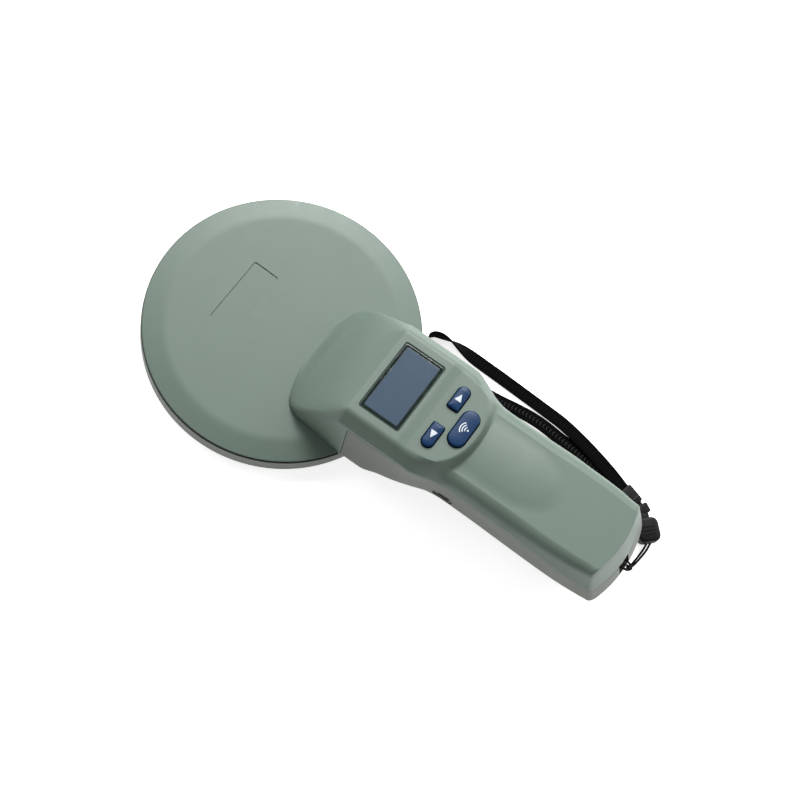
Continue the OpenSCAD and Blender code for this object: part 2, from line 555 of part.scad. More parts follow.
module strap_band() color(black) skin([for (i = [0:len(band_line) - 1]) band_ring(i)]);
module strap_string() color(black) tube(string_route, string_d);
module strap_knot() color(black) translate(knot_at) rotate([-28, 6, 0]) rotate_extrude($fn = 32)
    polygon([[0, -2.2], [1.2, -1.9], [1.9, -0.8], [1.9, 0.8], [1.2, 1.9], [0, 2.2]]);
module rounded_box(l, w, h, r) translate([0, 0, rest_z]) linear_extrude(h) {
    square([l - 2 * r, w], center = true);
    square([l, w - 2 * r], center = true);
    for (i = [-1, 1], j = [-1, 1]) translate([i * (l / 2 - r), j * (w / 2 - r)]) circle(r);
}
// The link's plug slides out of the buckle's socket along this heading
release_turn = -44;
buckle_at = [220.4, 31, 0];
buckle_l = 13.5;
buckle_w = 12.5;
buckle_h = 7.6;
plug_l = 4.8;
plug_w = 5;
plug_h = 3.6;
neck_gap = 2.6;                          // bare neck between the link and the buckle
plug_z = rest_z + (buckle_h - plug_h) / 2;
module strap_clamp() color(black) translate([202.6, 40.5, 0]) rotate([0, 0, -15])
    rounded_box(11, 10.4, 5, 1.4);
module strap_link() color(black) {
    translate([211.9, 39.2, 0]) rotate([0, 0, -28]) {
        rounded_box(5.6, 8, 5.2, 0.8);
        translate([-3.4, -1, 0]) rounded_box(4, 5, 3.6, 0.5);
    }
    translate(buckle_at) rotate([0, 0, release_turn]) translate([-buckle_l / 2 - neck_gap, -plug_w / 2, plug_z])
        cube([neck_gap + plug_l, plug_w, plug_h]);
}
module strap_buckle() color(black) translate(buckle_at) rotate([0, 0, release_turn]) difference() {
    rounded_box(buckle_l, buckle_w, buckle_h, 3.6);
    translate([-buckle_l / 2 - 1, -plug_w / 2 - fit_gap, plug_z - fit_gap])
        cube([plug_l + 1.3, plug_w + 2 * fit_gap, plug_h + 2 * fit_gap]);
}
module strap_pin() color(steel) on_handle() translate([pin_u, 0, base_z + 1.7])
    cylinder(d = pin_d, h = pocket_h + 3.8);

upper_shell();
lower_shell();
display_window();
window_gasket();
lcd_panel();
lcd_backlight();
lcd_pins();
left_button();
right_button();
scan_button();
keypad_web();
keypad_legs();
main_board();
board_chips();
tact_switches();
buzzer();
charge_board();
charge_parts();
usb_shell();
usb_tongue();
battery_cell();
battery_tabs();
battery_leads();
battery_plug();
antenna_former();
antenna_coil();
antenna_leads();
case_screws();
board_screws();
strap_pin();
strap_string();
strap_knot();
strap_buckle();
strap_link();
strap_clamp();
strap_band();
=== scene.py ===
"""Looks of the handheld animal microchip scanner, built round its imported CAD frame.

Lengths are in millimetres. W is the row frame: the origin is the centre of the disc's reading face, X runs to
the butt and Z is up. H is the handle frame, hinged up by TILT at x = ROOT: points are (u, y, z), u from the root.
"""

import math

import bmesh
import bpy
import numpy as np
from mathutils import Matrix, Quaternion, Vector


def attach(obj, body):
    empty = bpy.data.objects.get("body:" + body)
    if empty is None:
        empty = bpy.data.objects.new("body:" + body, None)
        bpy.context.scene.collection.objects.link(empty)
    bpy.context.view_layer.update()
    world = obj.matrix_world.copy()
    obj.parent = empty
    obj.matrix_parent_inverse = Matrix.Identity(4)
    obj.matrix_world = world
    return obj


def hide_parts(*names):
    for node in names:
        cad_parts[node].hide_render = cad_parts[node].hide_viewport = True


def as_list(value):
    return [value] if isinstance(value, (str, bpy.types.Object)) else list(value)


MM = 0.001
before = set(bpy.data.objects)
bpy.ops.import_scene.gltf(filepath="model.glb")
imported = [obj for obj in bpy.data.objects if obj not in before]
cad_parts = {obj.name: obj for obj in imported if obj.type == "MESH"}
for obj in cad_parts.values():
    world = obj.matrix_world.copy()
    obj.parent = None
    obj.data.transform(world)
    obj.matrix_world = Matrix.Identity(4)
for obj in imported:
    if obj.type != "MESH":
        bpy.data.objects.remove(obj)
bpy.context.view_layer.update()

# ---------------------------------------------------------------- driving sizes
TILT = math.radians(4)
ROOT = 60.0
DISC_R, DISC_H = 75.6, 14.4
FLAT_R, LID_R, GROOVE_R = 63.5, 74.6, 73.6
RIM_SPLIT = (11.0, 11.8)          # the groove round the disc's rim, lowest and highest
LABEL_X, LABEL_L, LABEL_W, LABEL_DEPTH = -26.4, 15.6, 40.2, 0.5
DECK_HW, DECK_Z = 27.4, 46.0
DECK_SIDE, DECK_SIDE_Z = 33.4, 39.5
KEY_Z = 45.2                      # the deck round the buttons
HANDLE_L = 160.6
BASE_Z = 9.0
STEP_U = 6.0                      # where the joint steps up on to the pod's side
SEAM = 0.35                       # gap between the shells
END_EDGE = 2.4                    # rounding of the butt's edge
BUTT_R, BUTT_DRAFT = 70.0, math.radians(16)
NECK_L = 38.6
WINDOW_U, WINDOW_L, WINDOW_W = 15.9, 24.8, 43.4
BORDER = 2.5
ARROW_U, ARROW_W, ARROW_L, ARROW_SPLIT = 43.15, 6.5, 14.0, 10.8
SCAN_U, SCAN_W, SCAN_L = 54.2, 9.4, 21.6
KEY_GAP = 0.35
KEY_TOP = DECK_Z + 0.9
KEY_FOOT = 42.5                   # lowest level of the buttons' skirts
KEY_DOME = 0.22
KEY_DECK = (43.0, 19.0, 26.5)     # the key deck's round end: middle, and half its length and width
KEY_DROP = 5.2                    # from the key deck to the grip's back
PORT_U, PORT_Z, PORT_Y = 63.5, 16.75, -26.9
PIN_U = HANDLE_L - 6.4
POCKET_W, POCKET_H, POCKET_Z = 9.0, 9.0, 12.4
WELL_R = 3.05                     # screw wells
BAND_W, BAND_T = 7.2, 1.2
STRING_D, KNOT_R = 1.2, 0.62
REST_Z = 0.2                      # the strap's gap over the table


def on_row(points):
    """H points, an array of (u, y, z), as W points."""
    u, y, z = np.asarray(points, float).T
    c, s = math.cos(TILT), math.sin(TILT)
    return np.stack([ROOT + u * c - z * s, y, u * s + z * c], axis=1)


def linked(name, data):
    """A new object of that data, in the scene."""
    made = bpy.data.objects.new(name, data)
    bpy.context.scene.collection.objects.link(made)
    return made


def turns(n):
    """Angles of n even steps round a circle."""
    return np.linspace(0, 2 * math.pi, n, endpoint=False)


# ---------------------------------------------------------------- camera
def add_camera():
    """High, a little to the right, and rolled so that the grip points to the picture's lower right."""
    azimuth, elevation, roll = (math.radians(a) for a in (12.54, 70.16, 24.28))
    back = Vector((
        math.sin(azimuth) * math.cos(elevation), -math.cos(azimuth) * math.cos(elevation), math.sin(elevation)
    ))
    data = bpy.data.cameras.new("camera")
    data.sensor_width, data.lens = 36, 71.64
    data.clip_start, data.clip_end = 0.01, 50
    camera = linked("camera", data)
    camera.rotation_mode = "QUATERNION"
    camera.rotation_quaternion = (-back).to_track_quat("-Z", "Y") @ Quaternion((0, 0, 1), roll)
    camera.location = Vector((135.6, -274.8, 808.2)) * MM
    bpy.context.scene.camera = camera


add_camera()


# ---------------------------------------------------------------- material helpers
class Shader:
    """A Principled material, and short calls that add nodes to it."""

    def __init__(self, name, color, roughness, **sockets):
        self.material = bpy.data.materials.new(name)
        self.material.use_nodes = True
        self.tree = self.material.node_tree
        self.bsdf = self.tree.nodes["Principled BSDF"]
        self.bsdf.inputs["Base Color"].default_value = (*color, 1)
        self.bsdf.inputs["Roughness"].default_value = roughness
        for key, value in sockets.items():
            self.bsdf.inputs[key.replace("_", " ")].default_value = value
        self.where = self.add("ShaderNodeTexCoord").outputs["Object"]
        self.height = None

    def add(self, kind, **settings):
        made = self.tree.nodes.new(kind)
        for key, value in settings.items():
            setattr(made, key, value)
        return made

    def feed(self, socket, value):
        if isinstance(value, bpy.types.NodeSocket):
            self.tree.links.new(value, socket)
        else:
            socket.default_value = value

    def math(self, operation, *values):
        made = self.add("ShaderNodeMath", operation=operation)
        for socket, value in zip(made.inputs, values):
            self.feed(socket, value)
        return made.outputs[0]

    def noise(self, size, detail=2.0, roughness=0.5):
        """Noise of about that grain, in mm, from 0 to 1."""
        made = self.add("ShaderNodeTexNoise")
        self.feed(made.inputs["Vector"], self.where)
        made.inputs["Scale"].default_value = 1 / (size * MM)
        made.inputs["Detail"].default_value = detail
        made.inputs["Roughness"].default_value = roughness
        return made.outputs["Fac"]

    def ramp(self, value, low, high, to_low=0.0, to_high=1.0):
        made = self.add("ShaderNodeMapRange", interpolation_type="SMOOTHSTEP")
        for name, number in (("From Min", low), ("From Max", high), ("To Min", to_low), ("To Max", to_high)):
            made.inputs[name].default_value = number
        self.feed(made.inputs["Value"], value)
        return made.outputs["Result"]

    def mix(self, factor, first, second):
        made = self.add("ShaderNodeMix", data_type="RGBA")
        self.feed(made.inputs["Factor"], factor)
        self.feed(made.inputs["A"], first if isinstance(first, bpy.types.NodeSocket) else (*first, 1))
        self.feed(made.inputs["B"], second if isinstance(second, bpy.types.NodeSocket) else (*second, 1))
        return made.outputs["Result"]

    def color(self, socket):
        self.tree.links.new(socket, self.bsdf.inputs["Base Color"])

    def rough(self, socket):
        self.tree.links.new(socket, self.bsdf.inputs["Roughness"])

    def bump(self, height, depth, strength=1.0):
        """Adds a bump of that depth, in mm, over any earlier one."""
        made = self.add("ShaderNodeBump")
        made.inputs["Strength"].default_value = strength
        made.inputs["Distance"].default_value = depth * MM
        self.feed(made.inputs["Height"], height)
        if self.height:
            self.tree.links.new(self.height, made.inputs["Normal"])
        self.height = made.outputs["Normal"]
        self.tree.links.new(self.height, self.bsdf.inputs["Normal"])

    def edges(self):
        """Near 1 on worn convex edges and 0 on flats."""
        return self.ramp(self.add("ShaderNodeNewGeometry").outputs["Pointiness"], 0.52, 0.60)


def scaled(color, factor):
    return tuple(min(1, c * factor) for c in color)


def moulded(name, color, roughness=0.5, grain=0.28, depth=0.012, wear=1.18, shine=0.5):
    """Moulded plastic: a spark-eroded grain, faint flow mottling and slightly polished edges."""
    s = Shader(name, color, roughness, Specular_IOR_Level=shine)
    mottle = s.noise(26, 3)
    tint = s.mix(s.ramp(mottle, 0.35, 0.65), scaled(color, 0.988), scaled(color, 1.012))
    s.color(s.mix(s.math("MULTIPLY", s.edges(), 0.5), tint, scaled(color, wear)))
    handled = s.ramp(s.noise(9, 4), 0.4, 0.7, roughness + 0.015, roughness - 0.015)
    s.rough(s.math("SUBTRACT", handled, s.math("MULTIPLY", s.edges(), 0.06)))
    s.bump(s.noise(grain, 2), depth)
    return s.material


def metal(name, color, roughness=0.3, brush=0.15):
    s = Shader(name, color, roughness, Metallic=1.0)
    s.rough(s.ramp(s.noise(1.4, 4), 0.3, 0.7, roughness - 0.07, roughness + 0.12))
    s.color(s.mix(s.noise(3, 3), scaled(color, 0.86), scaled(color, 1.06)))
    s.bump(s.noise(brush, 2), 0.004)
    return s.material


# ---------------------------------------------------------------- mesh helpers
def outline_of(corners, radii, n=6):
    """A closed outline, its corners rounded by short curves that start radii away along each side."""
    points = []
    for i, here in enumerate(corners):
        here = np.array(here, float)
        before, after = np.array(corners[i - 1], float), np.array(corners[(i + 1) % len(corners)], float)
        r = radii[i] if isinstance(radii, (list, tuple)) else radii
        if r <= 0:
            points.append(here)
            continue
        a = here + (before - here) * min(0.49, r / np.linalg.norm(before - here))
        b = here + (after - here) * min(0.49, r / np.linalg.norm(after - here))
        for t in np.linspace(0, 1, n + 1):
            points.append((1 - t) ** 2 * a + 2 * t * (1 - t) * here + t * t * b)
    return np.array(points)


def rectangle(x, a, b):
    """Corners of a rectangle about (x, 0), a and b from its middle to its sides."""
    return [(x + a, -b), (x + a, b), (x - a, b), (x - a, -b)]


def rounded_plan(length, width, radius, shift=0.0, least=0.15, n=8):
    """plan(grow) of a rounded rectangle about (shift, 0), its radius never under least."""
    def plan(grow):
        corners = rectangle(shift, length / 2 + grow, width / 2 + grow)
        return outline_of(corners, max(least, radius + grow), n)
    return plan


def quads(m, n, looped=False):
    """Faces between m rings of n points, and from the last ring to the first if looped."""
    return [
        (i * n + j, i * n + (j + 1) % n, (i + 1) % m * n + (j + 1) % n, (i + 1) % m * n + j)
        for i in range(m if looped else m - 1)
        for j in range(n)
    ]


def skin(rings, closed_ends=True):
    """Faces between equal closed rings of points, and a fan on a centre point at each end."""
    rings = [np.asarray(r, float) for r in rings]
    m, n = len(rings), len(rings[0])
    points = np.concatenate(rings)
    faces = quads(m, n)
    if closed_ends:
        ends = [rings[0].mean(axis=0), rings[-1].mean(axis=0)]
        points = np.concatenate([points, ends])
        faces += [((j + 1) % n, j, m * n) for j in range(n)]
        faces += [((m - 1) * n + j, (m - 1) * n + (j + 1) % n, m * n + 1) for j in range(n)]
    return points, faces


def shaded(mesh, sharp):
    """Smooth shading, except where faces meet at over sharp degrees."""
    mesh.polygons.foreach_set("use_smooth", [True] * len(mesh.polygons))
    mesh.set_sharp_from_angle(angle=math.radians(sharp))


def piece(name, points, faces, material, sharp=30):
    """A mesh object from W points in mm."""
    mesh = bpy.data.meshes.new(name)
    mesh.from_pydata((np.asarray(points, float) * MM).tolist(), [], faces)
    box = bmesh.new()
    box.from_mesh(mesh)
    bmesh.ops.remove_doubles(box, verts=box.verts, dist=1e-7)
    bmesh.ops.recalc_face_normals(box, faces=box.faces)
    box.to_mesh(mesh)
    box.free()
    mesh.materials.append(material)
    shaded(mesh, sharp)
    return linked(name, mesh)


def stands_for(made, body, slot, *nodes):
    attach(made, body)
    if nodes:
        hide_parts(*nodes)
    return made


def cut(target, cutters, sharp=30):
    """Subtracts the cutters from target, keeping the cutters' material on the cut faces."""
    for cutter in cutters:
        change = target.modifiers.new("cut", "BOOLEAN")
        change.operation, change.solver, change.object = "DIFFERENCE", "EXACT", cutter
        change.material_mode = "TRANSFER"
    bpy.context.view_layer.update()
    mesh = bpy.data.meshes.new_from_object(target.evaluated_get(bpy.context.evaluated_depsgraph_get()))
    target.modifiers.clear()
    target.data = mesh
    shaded(mesh, sharp)
    for cutter in cutters:
        bpy.data.objects.remove(cutter)


def stack(plan, levels, place=on_row):
    """Skins plan(grow), an outline in (u, y), through levels of (grow, z)."""
    rings = []
    for grow, z in levels:
        flat = plan(grow)
        rings.append(place(np.column_stack([flat, np.full(len(flat), z)])))
    return skin(rings)


def lathe(profile, n=256):
    """A solid of revolution about Z through (r, z) points, with flat ends."""
    x, y = np.cos(turns(n)), np.sin(turns(n))
    return skin([np.column_stack([r * x, r * y, np.full(n, z)]) for r, z in profile])


def along(route, step):
    """A smooth curve through the route's points, sampled about every step mm."""
    p = np.asarray(route, float)
    q = np.concatenate([[2 * p[0] - p[1]], p, [2 * p[-1] - p[-2]]])
    out = []
    for i in range(1, len(q) - 2):
        a, b, c, d = q[i - 1:i + 3]
        n = max(2, int(np.linalg.norm((c - b)[:3]) / step))
        for t in np.arange(n) / n:
            out.append(0.5 * (2 * b + (c - a) * t + (2 * a - 5 * b + 4 * c - d) * t**2
                              + (3 * b - a - 3 * c + d) * t**3))
    return np.array([*out, p[-1]])


def frames_along(line, ups):
    """Unit tangent, side and up at each point of a line, up being as near to ups as it can."""
    t = np.gradient(line, axis=0)
    t /= np.linalg.norm(t, axis=1, keepdims=True)
    v = ups - (ups * t).sum(axis=1, keepdims=True) * t
    v /= np.linalg.norm(v, axis=1, keepdims=True)
    return t, np.cross(v, t), v


# ---------------------------------------------------------------- the strap: cords come first
STRING_ROUTE = [
    (225.6, 27, 3), (226.2, 22.5, 1.2), (225.8, 17, 1), (225, 12, 2.4), (223.9, 8.4, 6), (223, 6.2, 10.4),
    (222.5, 4.4, 15.4), (221.8, 3.2, 20.4), (220.2, 2.7, 24.9), (217, 2.5, 27.1), (213.4, 2.5, 27.6),
    (210.9, 1.7, 27.6), (210, 0, 27.6), (210.9, -1.7, 27.6), (213.4, -2.5, 27.6), (217, -2.3, 27.1),
    (220.2, -1.2, 24.9), (221.6, 0.8, 20.4), (222, 2.6, 15.4), (222.3, 4.9, 10.4), (222.9, 7.4, 6),
    (223.8, 11.4, 2.4), (224.4, 16.6, 1), (224.6, 22, 1.2), (224, 27, 3),
]
# x, y, lift above the surface and roll up on to its edge, in degrees
BAND_ROUTE = [
    (198, 41.8, 0, 0), (187, 43.6, 0, 0), (170, 44.6, 0, 0), (155, 45.6, 0, 0), (140, 46.2, 0, 0),
    (127, 44.8, 0, 0), (114, 42.4, 0, 0), (102, 41.2, 0, 0), (91, 41.4, 0, 5), (82, 42.4, 0, 35),
    (75, 43.4, 0, 70), (69.5, 44.6, 0, 90), (65.4, 46, 0, 90), (64, 48.6, 0, 90), (65.6, 51.2, 0, 90),
    (69.5, 52.8, 0, 90), (75, 53.6, 0, 70), (82, 54, 0, 35), (91, 54.2, 0, 5), (102, 54.3, 0, 0),
    (114, 54.3, 0, 0), (127, 54.2, 0, 0), (140, 53.9, 0.4, 0), (150, 53.3, 1.3, 0), (160, 52, 1.5, 0),
    (170, 50.2, 1.5, 0), (180, 48, 1.5, 0), (189, 45.6, 1.5, 0), (198, 42.7, 1.5, 0),
]


def woven(name, dark, light):
    """Webbing: a rib weave, with a light chevron figure down its middle."""
    s = Shader(name, dark, 0.9, Specular_IOR_Level=0.04)
    run, side = (s.add("ShaderNodeAttribute", attribute_name=n).outputs["Fac"] for n in ("run", "side"))
    lean = s.math("MULTIPLY", s.math("ABSOLUTE", side), 1.6)
    beat = s.math("FRACT", s.math("DIVIDE", s.math("ADD", run, lean), 2.2))
    stripe = s.math("MULTIPLY", s.ramp(beat, 0.06, 0.16), s.ramp(beat, 0.30, 0.40, 1, 0))
    middle = s.math("MULTIPLY", s.ramp(s.math("ABSOLUTE", side), 0.30, 0.38, 1, 0), s.ramp(run, 128, 136, 1, 0.12))
    figure = s.math("MULTIPLY", stripe, middle)
    thread = s.noise(0.35, 3)
    figure = s.math("MULTIPLY", figure, s.ramp(thread, 0.3, 0.6, 0.45, 1))
    s.color(s.mix(figure, s.mix(thread, dark, scaled(dark, 2.2)), light))
    ribs = s.math("SINE", s.math("MULTIPLY", run, 2 * math.pi / 0.6))
    warp = s.math("SINE", s.math("MULTIPLY", side, 42.0))
    s.bump(s.math("MULTIPLY", ribs, warp), 0.09)
    return s.material


def braided(name, color):
    """Thin braided string."""
    s = Shader(name, color, 0.8, Specular_IOR_Level=0.08)
    run, side = (s.add("ShaderNodeAttribute", attribute_name=n).outputs["Fac"] for n in ("run", "side"))
    one = s.math("SINE", s.math("ADD", s.math("MULTIPLY", run, 7.0), s.math("MULTIPLY", side, 12.566)))
    two = s.math("SINE", s.math("SUBTRACT", s.math("MULTIPLY", run, 7.0), s.math("MULTIPLY", side, 12.566)))
    cross = s.math("MAXIMUM", one, two)
    s.color(s.mix(s.ramp(cross, 0, 1), scaled(color, 0.6), scaled(color, 1.6)))
    s.bump(cross, 0.08)
    return s.material


def swept(name, line, ups, section, material, sharp=40):
    """Sweeps section, (across, up) points in mm, along a line. Each point keeps run, in mm, and side, -1 to 1."""
    t, w, v = frames_along(line, ups)
    rings = [c + np.outer(section[:, 0], a) + np.outer(section[:, 1], b) for c, a, b in zip(line, w, v)]
    points, faces = skin(rings)
    mesh = bpy.data.meshes.new(name)
    mesh.from_pydata((points * MM).tolist(), [], faces)
    run = np.concatenate([[0], np.cumsum(np.linalg.norm(np.diff(line, axis=0), axis=1))])
    across = section[:, 0] / np.abs(section[:, 0]).max()
    for key, values in (
        ("run", [*np.repeat(run, len(section)), run[0], run[-1]]),
        ("side", [*np.tile(across, len(line)), 0, 0]),
    ):
        mesh.attributes.new(key, "FLOAT", "POINT").data.foreach_set("value", values)
    mesh.materials.append(material)
    shaded(mesh, sharp)
    return linked(name, mesh)


def length_of(line):
    return float(np.linalg.norm(np.diff(line, axis=0), axis=1).sum()) * MM


def make_band():
    route = along(BAND_ROUTE, 1.5)
    roll = np.radians(route[:, 3])
    high = REST_Z + route[:, 2] + BAND_W / 2 * np.abs(np.sin(roll)) + BAND_T / 2 * np.abs(np.cos(roll))
    line = np.column_stack([route[:, 0], route[:, 1], high])
    flat = np.gradient(line, axis=0)
    left = np.column_stack([-flat[:, 1], flat[:, 0], np.zeros(len(flat))])
    left /= np.linalg.norm(left, axis=1, keepdims=True)
    ups = np.outer(np.cos(roll), (0, 0, 1)) + np.sin(roll)[:, None] * left
    half_w, half_t = BAND_W / 2, BAND_T / 2
    edge = outline_of(rectangle(0, half_w, half_t), 0.42, 4)
    rows = np.linspace(-0.84, 0.84, 25)[1:-1] * half_w
    top = [(x, half_t) for x in rows[::-1]]
    low = [(x, -half_t) for x in rows]
    quarter = len(edge) // 4
    section = np.array([*edge[:2 * quarter], *top, *edge[2 * quarter:], *low])
    weave = woven("webbing", (0.0016, 0.0016, 0.0018), (0.034, 0.037, 0.037))
    made = swept("strap_webbing", line, ups, section, weave)
    stands_for(made, "strap_tail", "band_fabric", "strap_band")
    return made, line


def make_string():
    line = along(STRING_ROUTE, 0.5)
    section = np.column_stack([np.cos(turns(12)), np.sin(turns(12))]) * STRING_D / 2
    ups = np.tile((0.05, 0.1, 1.0), (len(line), 1))
    made = swept("strap_cord", line, ups, section, braided("string", (0.002, 0.002, 0.0024)), 60)
    stands_for(made, "body", "string_fabric", "strap_string")
    return made, line


def knot_of(name, centre, size, material):
    """An overhand knot: a trefoil tube pulled tight."""
    t = turns(72)
    path = np.column_stack([np.sin(t) + 2 * np.sin(2 * t), np.cos(t) - 2 * np.cos(2 * t), -1.4 * np.sin(3 * t)])
    path = path / 3 * size + centre
    tangent = np.roll(path, -1, axis=0) - np.roll(path, 1, axis=0)
    tangent /= np.linalg.norm(tangent, axis=1, keepdims=True)
    side = np.cross(tangent, (0.2, 0.3, 1.0))
    side /= np.linalg.norm(side, axis=1, keepdims=True)
    up = np.cross(side, tangent)
    x, y = (KNOT_R * f(turns(10)) for f in (np.cos, np.sin))
    rings = [c + np.outer(x, a) + np.outer(y, b) for c, a, b in zip(path, side, up)]
    return piece(name, np.concatenate(rings), quads(len(rings), len(x), True), material, 60)


band, band_line = make_band()
string, string_line = make_string()
knot = knot_of("strap_knot_wrap", (222.6, 5.6, 10.4), 1.45, string.data.materials[0])
stands_for(knot, "body", "string_fabric", "strap_knot")


def chunk(name, at, turn, plan, levels, material):
    """A moulded piece whose outline in its own plane is plan(grow), through (grow, z) levels, turned at a place."""
    c, s = math.cos(math.radians(turn)), math.sin(math.radians(turn))

    def place(p):
        return np.column_stack([at[0] + p[:, 0] * c - p[:, 1] * s, at[1] + p[:, 0] * s + p[:, 1] * c, p[:, 2]])

    points, faces = stack(plan, levels, place)
    return piece(name, points, faces, material, 32)


def pillow(low, high, edge=0.7):
    """Levels of a moulding with softly rounded upper and lower edges."""
    steps = [0, 25, 50, 75, 90]
    down = [(-edge * (1 - math.sin(math.radians(a))), low + edge * (1 - math.cos(math.radians(a)))) for a in steps]
    up = [(g, high - (z - low)) for g, z in reversed(down)]
    return down + up


def make_strap_hardware():
    black = moulded("strap_moulding", (0.0022, 0.0022, 0.0026), 0.5, 0.35, 0.014, 2.0, 0.18)
    z = REST_Z
    clamp = [
        chunk("strap_clamp_body", (202.6, 40.5), -15, rounded_plan(11, 10.4, 1.6), pillow(z, z + 5, 0.9), black),
        chunk("strap_clamp_rib", (202.6, 40.5), -15, rounded_plan(1.2, 9, 0.5, 2.6),
              [(0, z + 4.6), (0, z + 5.25), (-0.3, z + 5.4)], black),
    ]
    link = [
        chunk("strap_link_body", (211.9, 39.2), -28, rounded_plan(5.6, 8, 1.2), pillow(z, z + 5.2, 0.8), black),
        chunk("strap_link_tail", (208.9, 40.2), -28, rounded_plan(4, 5, 0.6), pillow(z, z + 3.6, 0.4), black),
        chunk("strap_link_plug", (220.4, 31), -44, rounded_plan(7.4, 5, 0.5, -5.65),
              pillow(z + 2, z + 5.6, 0.35), black),
    ]
    buckle = chunk("strap_buckle_body", (220.4, 31), -44, rounded_plan(13.5, 12.5, 4.2), pillow(z, z + 7.6, 1.5),
                   black)
    ridge = [
        chunk(f"strap_buckle_ridge_{i}", (220.4, 31), -44, rounded_plan(0.8, 7.5, 0.35, shift),
              [(0, z + 7.2), (0, z + 7.75), (-0.2, z + 7.9)], black)
        for i, shift in enumerate((-1.6, 0.4, 2.4))
    ]
    stands_for(clamp[0], "strap_tail", "strap_plastic", "strap_clamp")
    stands_for(link[0], "strap_tail", "strap_plastic", "strap_link")
    stands_for(buckle, "body", "strap_plastic", "strap_buckle")
    for made in (clamp[1], *link[1:]):
        stands_for(made, "strap_tail", "strap_plastic")
    for made in ridge:
        stands_for(made, "body", "strap_plastic")
    return [*clamp, *link], [buckle, *ridge]


tail_pieces, buckle_pieces = make_strap_hardware()
length_of(string_line)
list(buckle_pieces)
length_of(band_line)
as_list(tail_pieces)


# ---------------------------------------------------------------- body outline
def curve(*knots):
    """A smooth curve through (u, value) knots that never overshoots, flat beyond its ends."""
    x, y = np.array(knots, float).T
    h, d = np.diff(x), np.diff(y) / np.diff(x)
    m = np.zeros_like(x)
    for i in range(1, len(x) - 1):
        if d[i - 1] * d[i] > 0:
            m[i] = 2 * d[i - 1] * d[i] / (d[i - 1] + d[i])

    def at(u):
        u = np.clip(u, x[0], x[-1])
        i = np.clip(np.searchsorted(x, u, "right") - 1, 0, len(h) - 1)
        t = (u - x[i]) / h[i]
        a, b = m[i] * h[i], m[i + 1] * h[i]
        return (y[i] * (1 + 2 * t) * (1 - t) ** 2 + a * t * (1 - t) ** 2
                + y[i + 1] * t * t * (3 - 2 * t) - b * t * t * (1 - t))
    return at


def smooth(t):
    t = np.clip(t, 0, 1)
    return t * t * (3 - 2 * t)


# along the handle: half widths, heights, the back's crown, and how far each corner's rounding reaches
base_curve = curve((-15, 37.2), (0, 38.4), (18, 38.4), (28, 35.6), (36, 33.7), (46.7, 30.1), (55, 27.4), (63, 26.7),
                   (80, 26.8), (96, 27.2), (129, 27.8), (150, 27.1), (160.6, 26.4))
side_curve = curve((0, 33.4), (42, 33.4), (49, 31.6), (57, 28.6), (66, 27.0), (88, 27.2), (110, 27.6), (129, 27.6),
                   (160.6, 25.6))
band_curve = curve((0, DECK_HW), (34, DECK_HW), (44, 27.0), (52, 25.6), (60, 24.2), (90, 24.0), (120, 24.4),
                   (160.6, 23.0))
side_z_curve = curve((0, 39.5), (38, 39.3), (50, 36.6), (62, 33.4), (80, 32.6), (104, 32.4), (130, 29.0),
                     (152, 25.4), (160.6, 24.6))
band_z_curve = curve((0, DECK_Z), (30.2, DECK_Z), (33.2, (DECK_Z + KEY_Z) / 2), (36.6, KEY_Z), (42, KEY_Z - 0.2),
                     (50, 43.0), (57, 40.3), (65, 38.6), (90, 38.6), (104, 38.1), (120, 36.5), (138, 33.2),
                     (152, 30.3), (160.6, 29.0))
crown_curve = curve((-NECK_L, 0), (-30, 2.4), (-16, 2.6), (-5, 0.8), (0, 0), (44, 0), (66, 2.5), (140, 2.7),
                    (160.6, 2.2))
side_round = curve((-NECK_L, 2), (-28, 8), (-18, 8), (-6, 4), (0, 1.1), (46, 1.2), (66, 1.3), (160.6, 1.3))
band_round = curve((-NECK_L, 6), (-28, 20), (-16, 16), (-6, 6), (-1, 2.2), (46, 2.2), (66, 4.6), (150, 4.6),
                   (160.6, 4.2))
FRONT_Z = (DISC_H + NECK_L * math.sin(TILT)) / math.cos(TILT)


def corners_at(u, inset=0.0):
    """Half a section's corners: base, side top and band top, each (half width, height)."""
    if u >= 0:
        base, side, band = (float(c(u)) for c in (base_curve, side_curve, band_curve))
        side_z, band_z = float(side_z_curve(u)), float(band_z_curve(u))
    else:
        # the neck: its foot rounds in over 20 mm, and its corners climb from the disc to the deck
        t = min(1.0, max(0.0, (u + NECK_L) / 20))
        foot = (37 + 0.5 * float(smooth((u + 25) / 25))) * (1 - (1 - t) ** 2) ** 0.25
        s = 1 + u / NECK_L
        rise = 0.35 * float(smooth(s)) + 0.65 * s**1.5
        base = foot + 1.1
        side = (foot + 1.0) * (1 - rise) + DECK_SIDE * foot / 37.5 * rise
        side_z = FRONT_Z + (DECK_SIDE_Z - FRONT_Z) * rise - 3 * (1 - rise) ** 4
        band = 0.80 * foot * (1 - rise) + DECK_HW * foot / 37.5 * rise
        band_z = FRONT_Z + (DECK_Z - FRONT_Z) * rise
    low = BASE_Z + (0.6 if u < STEP_U else 0) + inset
    return (base - inset, low), (side - inset, side_z - 0.4 * inset), (band - 0.8 * inset, band_z - inset)


def deck_height(u, y, edge, edge_z):
    """Height of the back at (u, y): the crowned back, with the key deck standing out of it."""
    back = edge_z + float(crown_curve(u)) * (1 - (y / edge) ** 2)
    if u < 36.2:
        return back
    middle, half_l, half_w = KEY_DECK
    beyond = (math.hypot(max(0.0, u - middle) / half_l, y / half_w) - 1) * 20.0
    deck = KEY_Z - KEY_DROP * float(smooth((beyond + 0.5) / 5.0))
    blend = 0.5
    h = min(1.0, max(0.0, 0.5 + 0.5 * (deck - back) / blend))
    return back * (1 - h) + deck * h + blend * h * (1 - h) * 0.5


